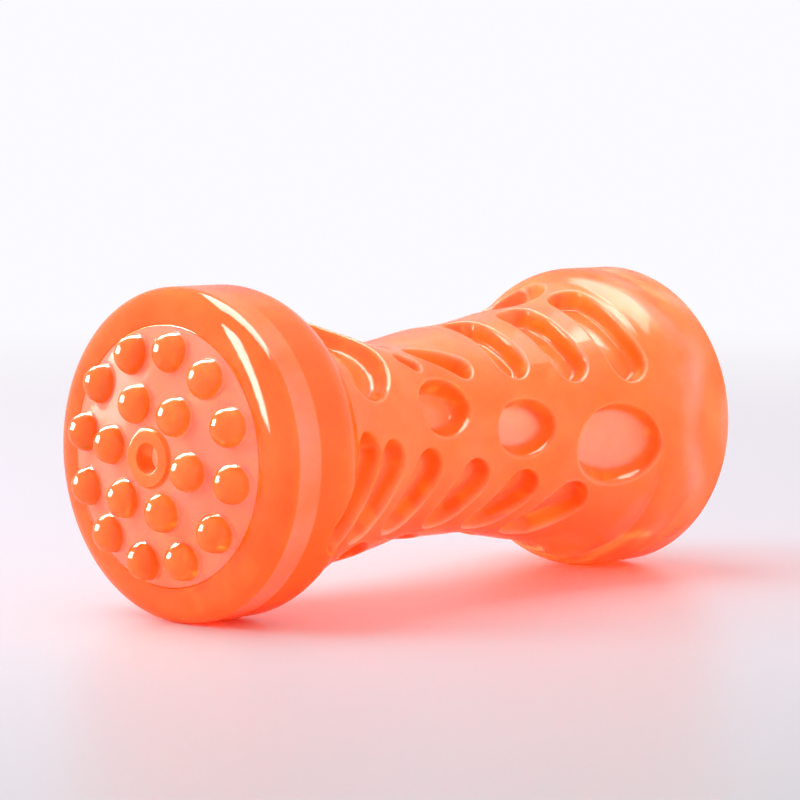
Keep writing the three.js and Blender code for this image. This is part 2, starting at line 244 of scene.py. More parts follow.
def sink_slots(row):
    for station in row["stations"]:
        s, t, radius = pocket_frame(station, row)
        half = row["width"] / 2
        reach = max(radius * math.sin(math.radians(row["span"]) / 2) - half, half / 4)
        inside = half - np.hypot(np.maximum(np.abs(s) - reach, 0), t)
        lip_highlight = np.interp(s, (-half, reach), SLOT_LIP_HIGHLIGHT)
        sink(inside, SLOT_DEPTH, row["pocket_floor_light"], lip_highlight)


def sink_dimples(row):
    for station, length, span in row["dimples"]:
        turned = dict(row, angle=row["angle"] + DIMPLE_WIND * station)
        s, t, radius = pocket_frame(station, turned)
        half_length = length / 2
        half_across = radius * math.sin(math.radians(span) / 2)
        ring = np.hypot(s / half_across, t / half_length)
        fall = np.hypot(s / half_across ** 2, t / half_length ** 2)
        inside = ring * (1 - ring) / np.maximum(fall, 1.0)
        draft = np.interp(s / half_across, (-1, 1), DIMPLE_DRAFT)
        inside = np.where(inside > 0, inside * draft, inside)
        inside = np.where(ring < DIMPLE_CENTRE, half_across, inside)
        pocket_floor_light = np.interp(station, DIMPLE_FLOOR_STATIONS, DIMPLE_FLOOR_LIGHTS)
        sink(inside, DIMPLE_DEPTH, pocket_floor_light, DIMPLE_LIP_HIGHLIGHT)


for row in (HIGH_SLOT_ROW, NEAR_POCKET_ROW, SHORT_SLOT_ROW, LEANING_SLOT_ROW):
    sink_slots(row)
sink_dimples(FACING_DIMPLE_ROW)
sink_slots(LOW_SLOT_ROW)
hidden_ends = (LOW_SLOT_ROW["angle"], HIDDEN_END_ANGLE)
hidden_leans = (LOW_SLOT_ROW["lean"], HIGH_SLOT_ROW["lean"])
for k, angle in enumerate(HIDDEN_ANGLES):
    row = dict(HIDDEN_ROW, angle=angle, lean=np.interp(angle, hidden_ends, hidden_leans))
    if k % 2:
        sink_slots(row)
    else:
        sink_dimples(row)

# The top of the waist dips a little behind the front collar
DIP_DEPTH = 0.0033
DIP_X = -0.014
DIP_HALF_LENGTH = 0.019
DIP_HALF_ANGLE = math.radians(48)
dip_along = np.clip(1 - ((x_rows - DIP_X) / DIP_HALF_LENGTH) ** 2, 0, 1) ** 2
dip_turn = (around + math.pi) % (2 * math.pi) - math.pi
dip_across = np.clip(1 - (dip_turn / DIP_HALF_ANGLE) ** 2, 0, 1) ** 2
dip = DIP_DEPTH * dip_along * dip_across[None, :] * is_outer[:, None]

# Tone runs from -1, deep saturated orange, to 1, pale orange. It is partly the rubber's own colour and partly
# painted light and shade, as marked below
WAIST_TONE = 0.08
FRONT_FADE = (0.040, 0.047)
# Painted light: a pale band round the front collar, for light glowing through the rubber
PALE_BAND = (0.0549, 0.0603)
COLLAR_TONES = (-0.55, -0.65)
BAND_LIGHT = 0.62
RIM_TONE = -0.4
LIT_TOP = (0.77, 0.90)
LIT_TOP_TONE = 0.5
# Painted highlight on the top of the waist, between and around the top slots
RIDGE_TOP = (0.45, 0.85)
RIDGE_RUN = (-0.026, -0.018, 0.040, 0.046)
RIDGE_HIGHLIGHT = 0.55
# Painted light on the underside of the waist, for light bounced up from the floor
UNDERSIDE = (-0.6, 0)
UNDERSIDE_REACH = 0.044
UNDERSIDE_LIGHT = 0.35
REAR_FADE = (0.040, 0.048)
REAR_TONE = 0.55
BLOTCH_FADE = (0.046, 0.052)
BLOTCH_TONE = 0.35
BLOTCHES_ROUND = 7
ROUND_SWAY = 3
ROUND_SWAYS = 2
BLOTCH_RUN = 0.0022
RUN_SWAY = 2
RUN_SWAYS = 5
# Painted shade in pocket walls
WALL_SHADE = 0.4
# Painted highlight along pocket lips
LIP_HIGHLIGHT = 0.75

reach = np.abs(x_rows)
in_band = (reach > PALE_BAND[0]) & (reach < PALE_BAND[1])
front_tone = np.interp(reach, (*FRONT_FADE, PALE_BAND[0]), (WAIST_TONE, *COLLAR_TONES))
front_tone = np.where(reach > PALE_BAND[1], RIM_TONE, front_tone)
# The pale band is painted light
front_tone = np.where(in_band, BAND_LIGHT, front_tone)
on_collar = (reach > FRONT_FADE[1]) & (reach < PALE_BAND[1])
lit_top = np.interp(cosine, LIT_TOP, (0, 1)) * on_collar
front_tone = front_tone + lit_top * (LIT_TOP_TONE - front_tone)
blotches = np.sin(BLOTCHES_ROUND * around + ROUND_SWAY * np.sin(ROUND_SWAYS * around))[None, :]
blotches = blotches * np.sin(reach / BLOTCH_RUN + RUN_SWAY * np.sin(RUN_SWAYS * around)[None, :])
rear_tone = np.interp(reach, REAR_FADE, (WAIST_TONE, REAR_TONE))
rear_tone = rear_tone + np.interp(reach, BLOTCH_FADE, (0, BLOTCH_TONE)) * blotches
# Painted highlight on the top of the waist
ridge_highlight = np.interp(cosine, RIDGE_TOP, (0, RIDGE_HIGHLIGHT)) * np.interp(x_rows, RIDGE_RUN, (0, 1, 1, 0))
# Painted light on the underside
underside_light = np.interp(cosine, UNDERSIDE, (UNDERSIDE_LIGHT, 0)) * (reach < UNDERSIDE_REACH)
tone = np.where(x_rows < 0, front_tone, rear_tone)
tone = tone + (ridge_highlight + underside_light) * (1 - depth / DIMPLE_DEPTH)
# Painted light on pocket floors and lips, painted shade on pocket walls
tone = tone + painted_floor_light - WALL_SHADE * wall + LIP_HIGHLIGHT * lip

places = surface - (depth + dip)[..., None] * normals
places[..., 2] += AXIS_HEIGHT


def smooth_piece(name, points, faces):
    """A smooth-shaded mesh object from an array of points and lists of point numbers."""
    mesh = bpy.data.meshes.new(name)
    mesh.from_pydata(points, [], faces)
    mesh.validate()
    mesh.shade_smooth()
    piece = bpy.data.objects.new(name, mesh)
    bpy.context.scene.collection.objects.link(piece)
    return piece


def ring_faces(rows, columns):
    """Quads over a grid of rows by columns that closes on itself both ways."""
    number = np.arange(rows * columns).reshape(rows, columns)
    up = np.roll(number, -1, axis=0)
    quads = np.stack([number, np.roll(number, -1, 1), np.roll(up, -1, 1), up], axis=-1)
    return quads.reshape(-1, 4)


def set_tone(piece, values):
    attribute = piece.data.attributes.new("tone", "FLOAT", "POINT")
    attribute.data.foreach_set("value", np.asarray(values, np.float32).ravel())


def orange_rubber():
    """Soft orange rubber: glossy skin, light that spreads inside, and colour from the tone, which holds
    painted light and shade as well as the rubber's own colour.
    """
    material = bpy.data.materials.new("orange_rubber")
    material.use_nodes = True
    nodes, links = material.node_tree.nodes, material.node_tree.links
    nodes.clear()
    out = nodes.new("ShaderNodeOutputMaterial")
    skin = nodes.new("ShaderNodeBsdfPrincipled")
    skin.inputs["Subsurface Weight"].default_value = 1.0
    skin.inputs["Subsurface Radius"].default_value = (1.0, 0.35, 0.15)
    skin.inputs["Subsurface Scale"].default_value = 0.007
    skin.inputs["IOR"].default_value = 1.49
    inside = nodes.new("ShaderNodeBsdfGlass")
    outside = nodes.new("ShaderNodeBsdfRefraction")
    for part in (inside, outside):
        part.inputs["Color"].default_value = (1.0, 0.9, 0.85, 1)
        part.inputs["Roughness"].default_value = 0.06
        part.inputs["IOR"].default_value = 1.45
    facing = nodes.new("ShaderNodeNewGeometry")
    clear = nodes.new("ShaderNodeMixShader")
    links.new(facing.outputs["Backfacing"], clear.inputs["Fac"])
    links.new(outside.outputs["BSDF"], clear.inputs[1])
    links.new(inside.outputs["BSDF"], clear.inputs[2])
    body_of_rubber = nodes.new("ShaderNodeVolumeAbsorption")
    body_of_rubber.inputs["Color"].default_value = (0.98, 0.82, 0.10, 1)
    body_of_rubber.inputs["Density"].default_value = 105
    gel = nodes.new("ShaderNodeMixShader")
    links.new(skin.outputs["BSDF"], gel.inputs[1])
    links.new(clear.outputs["Shader"], gel.inputs[2])
    links.new(body_of_rubber.outputs["Volume"], out.inputs["Volume"])
    tone_in = nodes.new("ShaderNodeAttribute")
    tone_in.attribute_name = "tone"
    clear_share = nodes.new("ShaderNodeMapRange")
    clear_share.inputs["From Min"].default_value = -0.5
    clear_share.inputs["From Max"].default_value = 0.3
    clear_share.inputs["To Min"].default_value = 0.18
    clear_share.inputs["To Max"].default_value = 0.5
    links.new(tone_in.outputs["Fac"], clear_share.inputs["Value"])
    links.new(clear_share.outputs["Result"], gel.inputs["Fac"])
    place = nodes.new("ShaderNodeTexCoord")
    cloud = nodes.new("ShaderNodeTexNoise")
    cloud.inputs["Scale"].default_value = 70
    cloud.inputs["Detail"].default_value = 3
    links.new(place.outputs["Object"], cloud.inputs["Vector"])
    mottle = nodes.new("ShaderNodeMapRange")
    mottle.inputs["To Min"].default_value = 0.25
    mottle.inputs["To Max"].default_value = 0.75
    links.new(cloud.outputs["Fac"], mottle.inputs["Value"])
    mixed = nodes.new("ShaderNodeMath")
    mixed.operation = "MULTIPLY_ADD"
    mixed.inputs[1].default_value = 0.5
    links.new(tone_in.outputs["Fac"], mixed.inputs[0])
    links.new(mottle.outputs["Result"], mixed.inputs[2])
    ramp = nodes.new("ShaderNodeValToRGB")
    colours = (
        (0.0, (0.92, 0.150, 0.006, 1)),
        (0.25, (0.93, 0.195, 0.010, 1)),
        (0.5, (0.94, 0.300, 0.058, 1)),
        (0.75, (0.95, 0.420, 0.165, 1)),
        (1.0, (0.96, 0.640, 0.470, 1)),
    )
    while len(ramp.color_ramp.elements) < len(colours):
        ramp.color_ramp.elements.new(0.5)
    for element, (position, colour) in zip(ramp.color_ramp.elements, colours):
        element.position = position
        element.color = colour
    links.new(mixed.outputs["Value"], ramp.inputs["Fac"])
    links.new(ramp.outputs["Color"], skin.inputs["Base Color"])
    grain = nodes.new("ShaderNodeTexNoise")
    grain.inputs["Scale"].default_value = 900
    grain.inputs["Detail"].default_value = 2
    links.new(place.outputs["Object"], grain.inputs["Vector"])
    rough = nodes.new("ShaderNodeMapRange")
    rough.inputs["To Min"].default_value = 0.04
    rough.inputs["To Max"].default_value = 0.08
    links.new(cloud.outputs["Fac"], rough.inputs["Value"])
    rear_top = nodes.new("ShaderNodeVectorMath")
    rear_top.operation = "DOT_PRODUCT"
    rear_top.inputs[1].default_value = (1, 0, 1)
    links.new(place.outputs["Object"], rear_top.inputs[0])
    satin = nodes.new("ShaderNodeMapRange")
    satin.inputs["From Min"].default_value = 0.065
    satin.inputs["From Max"].default_value = 0.100
    satin.inputs["To Max"].default_value = 0.16
    links.new(rear_top.outputs["Value"], satin.inputs["Value"])
    worn = nodes.new("ShaderNodeMath")
    links.new(rough.outputs["Result"], worn.inputs[0])
    links.new(satin.outputs["Result"], worn.inputs[1])
    links.new(worn.outputs["Value"], skin.inputs["Roughness"])
    sheen = nodes.new("ShaderNodeMapRange")
    sheen.inputs["From Min"].default_value = 0.75
    sheen.inputs["From Max"].default_value = 0.95
    sheen.inputs["To Min"].default_value = 0.5
    sheen.inputs["To Max"].default_value = 0.04
    links.new(tone_in.outputs["Fac"], sheen.inputs["Value"])
    links.new(sheen.outputs["Result"], skin.inputs["Specular IOR Level"])
    bump = nodes.new("ShaderNodeBump")
    bump.inputs["Strength"].default_value = 0.04
    bump.inputs["Distance"].default_value = 0.0002
    links.new(grain.outputs["Fac"], bump.inputs["Height"])
    links.new(bump.outputs["Normal"], skin.inputs["Normal"])
    ray = nodes.new("ShaderNodeLightPath")
    away = nodes.new("ShaderNodeMapRange")
    away.inputs["From Max"].default_value = 0.14
    links.new(ray.outputs["Ray Length"], away.inputs["Value"])
    tint = nodes.new("ShaderNodeValToRGB")
    tint.color_ramp.elements[0].color = (0.80, 0.16, 0.14, 1)
    tint.color_ramp.elements[1].color = (0.88, 0.77, 0.88, 1)
    tint.color_ramp.elements.new(0.14).color = (0.97, 0.29, 0.27, 1)
    links.new(away.outputs["Result"], tint.inputs["Fac"])
    glow = nodes.new("ShaderNodeBsdfTransparent")
    links.new(tint.outputs["Color"], glow.inputs["Color"])
    passing = nodes.new("ShaderNodeMixShader")
    links.new(ray.outputs["Is Shadow Ray"], passing.inputs["Fac"])
    links.new(gel.outputs["Shader"], passing.inputs[1])
    links.new(glow.outputs["BSDF"], passing.inputs[2])
    links.new(passing.outputs["Shader"], out.inputs["Surface"])
    return material


rubber = orange_rubber()
body_shell = smooth_piece("chew_body", places.reshape(-1, 3), ring_faces(*places.shape[:2]).tolist())
set_tone(body_shell, tone)
body_shell.data.materials.append(rubber)
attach(body_shell, "stick")
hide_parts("body_shell")

# End caps: two domed rubber discs, moulded apart and glued into the collars' mouths.
# Each face has two rings of round nubs and a ring-shaped boss. The front boss has the squeaker's vent
# through it, with a socket behind. The rear one is blind.

CAP_RADIUS = 0.0233
CAP_EDGE = 0.0055
CAP_CORNER = 0.0002
DOME_RISE = 0.0040
NUB_RADIUS = 0.0035
NUB_HEIGHT = 0.00355
NUB_FOOT = 0.0004
NUB_FULLNESS = 0.87
NUB_RINGS = ((0.0190, 12), (0.0100, 6))
NUB_TURN = math.radians(19.5)
BOSS_RADIUS = 0.0052
BOSS_RISE = 0.0006
BOSS_FOOT = 0.0004
BOSS_ROUND = 0.0005
VENT_RADIUS = 0.00275
BLIND_DEPTH = 0.0016
SOCKET_ROOF = 0.0006
SOCKET_RADIUS = 0.0073
SOCKET_BACK = -0.0102
NECK_RADIUS = 0.0097
CAP_COLUMNS = 144
NUB_COLUMNS = 44
NUB_FOOT_ROWS = 5
NUB_ROWS = 15
NUB_LEVELLING = 1.6
CORNER_STEPS = 4
FACE_STEP = 0.0011
FACE_ROOM = 0.6
BACK_CENTRE = 0.001
BLIND_CENTRE = 0.0008
NUB_TONE = -0.1
BOSS_TONE = 0.1
FACE_TONE = 0.95
FACE_FADE = (0.0170, 0.0230)
EDGE_TONE = 0.92
BACK_TONE = 0.2
face_edge = CAP_RADIUS - CAP_CORNER / 2


def dome_height(distance):
    return DOME_RISE * (1 - (np.asarray(distance) / CAP_RADIUS) ** 2)


def circle(columns, radius, middle=(0, 0)):
    """Points round a circle, counted from straight up towards -Y."""
    turn = np.linspace(0, 2 * math.pi, columns, endpoint=False)
    return np.stack([middle[0] - radius * np.sin(turn), middle[1] + radius * np.cos(turn)], axis=1)


def rounded(outline, radius):
    """An open outline with its inner corners rounded off."""
    corners = [np.array(point, float) for point in outline]
    points = [corners[0]]
    for before, corner, after in zip(corners, corners[1:], corners[2:]):
        arm_in = (before - corner) / np.linalg.norm(before - corner)
        arm_out = (after - corner) / np.linalg.norm(after - corner)
        start, end = corner + arm_in * radius, corner + arm_out * radius
        for share in np.linspace(0, 1, CORNER_STEPS + 1):
            points.append((1 - share) ** 2 * start + 2 * share * (1 - share) * corner + share ** 2 * end)
    points.append(corners[-1])
    return points


class Cap:
    """Collects a cap's points, as (y, z, height above the rim), its faces and their tone."""

    def __init__(self):
        self.points, self.faces, self.tones = [], [], []
        self.count = 0

    def add(self, flat, heights, tone_value):
        first = self.count
        heights = np.broadcast_to(heights, len(flat))
        self.points.append(np.column_stack([flat, heights]))
        self.tones.append(np.broadcast_to(tone_value, len(flat)))
        self.count += len(flat)
        return np.arange(first, self.count)

    def bridge(self, inner, outer):
        for k in range(len(inner)):
            n = (k + 1) % len(inner)
            self.faces.append((inner[k], inner[n], outer[n], outer[k]))

    def lathe(self, outline, start, tone_value):
        """Rings after a first one that is there already, from [radius, height] points."""
        ring = start
        for radius, height in outline:
            following = self.add(circle(CAP_COLUMNS, radius), height, tone_value)
            self.bridge(ring, following)
            ring = following
        return ring

    def close(self, ring, height, tone_value):
        middle = self.add(np.zeros((1, 2)), height, tone_value)[0]
        for k in range(len(ring)):
            self.faces.append((ring[k], ring[(k + 1) % len(ring)], middle))


def add_nub(cap, middle):
    """A round-topped nub that stands along the cap's axis on the sloping face."""
    base = float(dome_height(np.hypot(*middle)))
    profile = []
    for turn in np.linspace(0, math.pi / 2, NUB_FOOT_ROWS):
        profile.append((NUB_RADIUS + NUB_FOOT * (1 - math.sin(turn)), NUB_FOOT * (1 - math.cos(turn))))
    for turn in np.linspace(0, math.pi / 2, NUB_ROWS)[1:-1]:
        rise = NUB_FOOT + (NUB_HEIGHT - NUB_FOOT) * math.sin(turn) ** NUB_FULLNESS
        profile.append((NUB_RADIUS * math.cos(turn) ** NUB_FULLNESS, rise))
    first = ring = None
    for radius, rise in profile:
        flat = circle(NUB_COLUMNS, radius, middle)
        lift = min(rise / NUB_HEIGHT * NUB_LEVELLING, 1)
        heights = (1 - lift) * dome_height(np.hypot(*flat.T)) + lift * base + rise
        following = cap.add(flat, heights, FACE_TONE if rise < NUB_FOOT else NUB_TONE)
        if ring is None:
            first = following
        else:
            cap.bridge(ring, following)
        ring = following
    top = cap.add(np.array([middle]), base + NUB_HEIGHT, NUB_TONE)[0]
    for k in range(NUB_COLUMNS):
        cap.faces.append((ring[k], ring[(k + 1) % NUB_COLUMNS], top))
    return first


def fill_face(cap, rim_ring, boss_ring, nub_rings):
    """Covers the dome between its edge, the boss and the nubs with even triangles."""
    placed = np.concatenate(cap.points)
    rings = [rim_ring, boss_ring, *nub_rings]
    flat = [placed[ring, :2] for ring in rings]
    rows = np.arange(-CAP_RADIUS, CAP_RADIUS, FACE_STEP * math.sqrt(3) / 2)
    steps = np.arange(-CAP_RADIUS, CAP_RADIUS, FACE_STEP)
    loose = [(y + FACE_STEP / 2 * (k % 2), z) for k, z in enumerate(rows) for y in steps]
    loose = np.array(loose)
    room = FACE_ROOM * FACE_STEP
    keep = np.hypot(*loose.T) < face_edge - room
    for ring in flat[1:]:
        middle = ring.mean(axis=0)
        keep &= np.hypot(*(loose - middle).T) > np.hypot(*(ring[0] - middle)) + room
    loose = loose[keep]
    distance = np.hypot(*loose.T)
    face_tones = np.interp(distance, FACE_FADE, (FACE_TONE, EDGE_TONE))
    extra = cap.add(loose, dome_height(distance), face_tones)
    numbers = np.concatenate([*rings, extra])
    spots = [Vector(spot) for spot in np.concatenate([*flat, loose])]
    edges, first = [], 0
    for ring in rings:
        edges += [(first + k, first + (k + 1) % len(ring)) for k in range(len(ring))]
        first += len(ring)
    triangles = delaunay_2d_cdt(spots, edges, [], 0, 1e-9)
    origin = [group[0] for group in triangles[3]]
    cut_out = [(ring.mean(axis=0), np.hypot(*(ring[0] - ring.mean(axis=0)))) for ring in flat[1:]]
    for corners in triangles[2]:
        middle = np.mean([spots[origin[k]] for k in corners], axis=0)
        if all(np.hypot(*(middle - centre)) > radius for centre, radius in cut_out):
            cap.faces.append(tuple(numbers[origin[k]] for k in corners))


def end_cap(name, node, outward, vented):
    cap = Cap()
    boss_top = DOME_RISE + BOSS_RISE
    rim_ring = cap.add(circle(CAP_COLUMNS, face_edge), dome_height(face_edge), EDGE_TONE)
    boss_foot = BOSS_RADIUS + BOSS_FOOT
    boss_ring = cap.add(circle(CAP_COLUMNS, boss_foot), dome_height(boss_foot), FACE_TONE)
    nub_rings = []
    for distance, count in NUB_RINGS:
        for k in range(count):
            turn = outward * NUB_TURN + 2 * math.pi * k / count
            nub_rings.append(add_nub(cap, (-distance * math.sin(turn), distance * math.cos(turn))))
    fill_face(cap, rim_ring, boss_ring, nub_rings)
    corner = [(CAP_RADIUS, -CAP_CORNER / 2), (CAP_RADIUS, -CAP_EDGE)]
    boss = [(boss_foot, float(dome_height(boss_foot))), (BOSS_RADIUS, float(dome_height(BOSS_RADIUS)))]
    boss += [(BOSS_RADIUS - BOSS_ROUND / 2, boss_top), (VENT_RADIUS, boss_top)]
    if vented:
        behind = corner + [(NECK_RADIUS, -CAP_EDGE), (NECK_RADIUS, SOCKET_BACK), (SOCKET_RADIUS, SOCKET_BACK)]
        behind += [(SOCKET_RADIUS, SOCKET_ROOF), (VENT_RADIUS, SOCKET_ROOF), (VENT_RADIUS, boss_top)]
        last = cap.lathe(rounded(behind, CAP_CORNER)[:-1], rim_ring, BACK_TONE)
        over = rounded([(VENT_RADIUS, SOCKET_ROOF)] + boss[::-1], CAP_CORNER)[1:-1]
        last = cap.lathe(over, last, BOSS_TONE)
        cap.bridge(last, boss_ring)
    else:
        last = cap.lathe(rounded(corner + [(BACK_CENTRE, -CAP_EDGE)], CAP_CORNER), rim_ring, BACK_TONE)
        cap.close(last, -CAP_EDGE, BACK_TONE)
        floor_height = boss_top - BLIND_DEPTH
        blind = boss + [(VENT_RADIUS, floor_height), (BLIND_CENTRE, floor_height)]
        last = cap.lathe(rounded(blind, CAP_CORNER)[1:], boss_ring, BOSS_TONE)
        cap.close(last, floor_height, BOSS_TONE)
    flat = np.concatenate(cap.points)
    points = np.column_stack([outward * (RIM_X + flat[:, 2]), flat[:, 0], flat[:, 1] + AXIS_HEIGHT])
    piece = smooth_piece(name, points, [tuple(int(n) for n in face) for face in cap.faces])
    form = bmesh.new()
    form.from_mesh(piece.data)
    bmesh.ops.recalc_face_normals(form, faces=form.faces)
    form.to_mesh(piece.data)
    form.free()
    set_tone(piece, np.concatenate(cap.tones))
    piece.data.materials.append(rubber)
    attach(piece, "stick")
    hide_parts(node)
    return piece


front_cap = end_cap("front_cap", "front_end_cap", -1, True)
rear_cap = end_cap("rear_cap", "rear_end_cap", 1, False)

# Squeaker cup: a small cup of hard ivory plastic, injection moulded, with an air hole in its front wall.
# It is pushed into the socket behind the front cap's vent and is open towards the stick's hollow.

CUP_FRONT = 0.0003
CUP_BACK = SOCKET_BACK
CUP_OUTER = 0.0070
CUP_INNER = 0.0060
CUP_WALL = 0.0010
AIR_HOLE = 0.0016
PLASTIC_ROUND = 0.0002


def hard_plastic(name, dark, light, roughness):
    """Moulded plastic with faint clouds in its colour."""
    material = bpy.data.materials.new(name)
    material.use_nodes = True
    nodes, links = material.node_tree.nodes, material.node_tree.links
    shine = nodes["Principled BSDF"]
    shine.inputs["Roughness"].default_value = roughness
    shine.inputs["Subsurface Weight"].default_value = 0.2
    shine.inputs["Subsurface Radius"].default_value = (1.0, 0.8, 0.6)
    shine.inputs["Subsurface Scale"].default_value = 0.001
    place = nodes.new("ShaderNodeTexCoord")
    cloud = nodes.new("ShaderNodeTexNoise")
    cloud.inputs["Scale"].default_value = 300
    cloud.inputs["Detail"].default_value = 3
    links.new(place.outputs["Object"], cloud.inputs["Vector"])
    ramp = nodes.new("ShaderNodeValToRGB")
    ramp.color_ramp.elements[0].color = dark
    ramp.color_ramp.elements[1].color = light
    links.new(cloud.outputs["Fac"], ramp.inputs["Fac"])
    links.new(ramp.outputs["Color"], shine.inputs["Base Color"])
    return material


def fit(piece, body, node, material):
    piece.data.materials.append(material)
    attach(piece, body)
    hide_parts(node)


ivory = hard_plastic("squeaker_plastic", (0.74, 0.70, 0.60, 1), (0.88, 0.85, 0.77, 1), 0.4)
cup_inside = CUP_FRONT - CUP_WALL
cup_loop = [(AIR_HOLE, cup_inside), (CUP_INNER, cup_inside), (CUP_INNER, CUP_BACK),
            (CUP_OUTER, CUP_BACK), (CUP_OUTER, CUP_FRONT), (AIR_HOLE, CUP_FRONT)]
seam = (AIR_HOLE, CUP_FRONT - CUP_WALL / 2)
cup_rings = []
for radius, height in rounded([seam, *cup_loop, seam], PLASTIC_ROUND)[:-1]:
    ring = circle(CAP_COLUMNS, radius)
    x = np.full(len(ring), -RIM_X - height)
    cup_rings.append(np.column_stack([x, ring[:, 0], ring[:, 1] + AXIS_HEIGHT]))
cup_faces = ring_faces(len(cup_rings), CAP_COLUMNS).tolist()
cup = smooth_piece("squeaker_cup", np.concatenate(cup_rings[::-1]), cup_faces)
fit(cup, "stick", "squeaker_shell", ivory)

# Reed bed and clamp: the two halves of a plug of the same plastic, which closes the cup behind.
# The bed lies below, with an air groove along its top. The clamp lies above, and the two pinch the reed.

PLUG_RADIUS = 0.0057
PLUG_BACK = -0.0099
PLUG_STEPS = 33
BED_LENGTH = 0.0075
CLAMP_LENGTH = 0.0024
GROOVE_WIDTH = 0.0026
GROOVE_DEPTH = 0.0015
REED_GAP = 0.0005
SHARP_TURN = math.radians(40)
EASED_STEPS = 3


def eased_bar(name, outline, front, back, edge):
    """An outline across the stick, run from one height to another, with its sharp edges eased."""
    form = bmesh.new()
    ends = []
    for height in (front, back):
        ends.append([form.verts.new((-RIM_X - height, y, z + AXIS_HEIGHT)) for y, z in outline])
        form.faces.new(ends[-1])
    for k in range(len(outline)):
        form.faces.new((ends[0][k - 1], ends[0][k], ends[1][k], ends[1][k - 1]))
    bmesh.ops.recalc_face_normals(form, faces=form.faces)
    sharp = [line for line in form.edges if line.calc_face_angle() > SHARP_TURN]
    bmesh.ops.bevel(form, geom=sharp, offset=edge, segments=EASED_STEPS, profile=0.5, affect="EDGES")
    mesh = bpy.data.meshes.new(name)
    form.to_mesh(mesh)
    form.free()
    piece = bpy.data.objects.new(name, mesh)
    bpy.context.scene.collection.objects.link(piece)
    return piece


def plug_arc(low, high):
    """Points of an arc of the plug, between two angles from the +Y side."""
    turns = np.linspace(low, high, PLUG_STEPS)
    return [(PLUG_RADIUS * math.cos(t), PLUG_RADIUS * math.sin(t)) for t in turns]


tilt = math.asin(REED_GAP / PLUG_RADIUS)
half_groove = GROOVE_WIDTH / 2
groove_floor = -REED_GAP - GROOVE_DEPTH
bed_outline = plug_arc(math.pi + tilt, 2 * math.pi - tilt)
bed_outline += [(half_groove, -REED_GAP), (half_groove, groove_floor)]
bed_outline += [(-half_groove, groove_floor), (-half_groove, -REED_GAP)]
bed = eased_bar("reed_bed", bed_outline, PLUG_BACK + BED_LENGTH, PLUG_BACK, PLASTIC_ROUND)
fit(bed, "stick", "squeaker_reed_bed", ivory)

clamp_outline = plug_arc(tilt, math.pi - tilt)
clamp = eased_bar("reed_clamp", clamp_outline, PLUG_BACK + CLAMP_LENGTH, PLUG_BACK, PLASTIC_ROUND)
fit(clamp, "stick", "squeaker_reed_clamp", ivory)

# Reed: a tongue cut from thin plastic film, with its root held between the bed and the clamp.
# Its free end flutters over the bed's groove when air goes through.

REED_WIDTH = 0.0036
REED_THICKNESS = 0.0004
REED_ROOT = -0.0090
REED_TIP = -0.0027
REED_ROUND = 0.0001

film = hard_plastic("reed_film", (0.60, 0.56, 0.46, 1), (0.76, 0.72, 0.62, 1), 0.3)
half_reed, half_thick = REED_WIDTH / 2, REED_THICKNESS / 2
reed_outline = [(half_reed, -half_thick), (half_reed, half_thick),
                (-half_reed, half_thick), (-half_reed, -half_thick)]
reed = eased_bar("reed_tongue", reed_outline, REED_TIP, REED_ROOT, REED_ROUND)
fit(reed, "reed", "squeaker_reed", film)

# Floor: a white studio sweep of coated paper, laid flat under the stick.
# Its satin face mirrors the stick softly where it touches, it carries painted shade that darkens it towards
# the front and the right, and it runs into the bright wall far behind.

FLOOR_REACH = 3.0
floor_mesh = bpy.data.meshes.new("studio_floor")
corners = [(-FLOOR_REACH, -FLOOR_REACH, 0), (FLOOR_REACH, -FLOOR_REACH, 0),
           (FLOOR_REACH, FLOOR_REACH, 0), (-FLOOR_REACH, FLOOR_REACH, 0)]
floor_mesh.from_pydata(corners, [], [(0, 1, 2, 3)])
floor = bpy.data.objects.new("studio_floor", floor_mesh)
bpy.context.scene.collection.objects.link(floor)
paper = bpy.data.materials.new("white_sweep")
paper.use_nodes = True
nodes, links = paper.node_tree.nodes, paper.node_tree.links
sheet = nodes["Principled BSDF"]
sheet.inputs["Roughness"].default_value = 0.36
sheet.inputs["Specular IOR Level"].default_value = 0.3
# Painted shade: the paper's colour darkens towards the front and the right, where the light falls off
spot = nodes.new("ShaderNodeNewGeometry")
forward = nodes.new("ShaderNodeVectorMath")
forward.operation = "DOT_PRODUCT"
forward.inputs[1].default_value = (-0.45, -0.85, 0)
links.new(spot.outputs["Position"], forward.inputs[0])
shade_share = nodes.new("ShaderNodeMapRange")
shade_share.inputs["From Min"].default_value = 0.02
shade_share.inputs["From Max"].default_value = 0.22
links.new(forward.outputs["Value"], shade_share.inputs["Value"])
painted_shade = nodes.new("ShaderNodeValToRGB")
painted_shade.color_ramp.elements[0].color = (0.76, 0.705, 0.78, 1)
painted_shade.color_ramp.elements[1].color = (0.58, 0.555, 0.58, 1)
links.new(shade_share.outputs["Result"], painted_shade.inputs["Fac"])
links.new(painted_shade.outputs["Color"], sheet.inputs["Base Color"])
far = nodes.new("ShaderNodeVectorMath")
far.operation = "LENGTH"
links.new(spot.outputs["Position"], far.inputs[0])
fade = nodes.new("ShaderNodeMapRange")
fade.interpolation_type = "SMOOTHSTEP"
fade.inputs["From Min"].default_value = 0.2
fade.inputs["From Max"].default_value = 0.9
links.new(far.outputs["Value"], fade.inputs["Value"])
lit = nodes.new("ShaderNodeEmission")
lit.inputs["Color"].default_value = (0.97, 0.96, 1.0, 1)
blend = nodes.new("ShaderNodeMixShader")
links.new(fade.outputs["Result"], blend.inputs["Fac"])
links.new(sheet.outputs["BSDF"], blend.inputs[1])
links.new(lit.outputs["Emission"], blend.inputs[2])
links.new(blend.outputs["Shader"], nodes["Material Output"].inputs["Surface"])
floor_mesh.materials.append(paper)

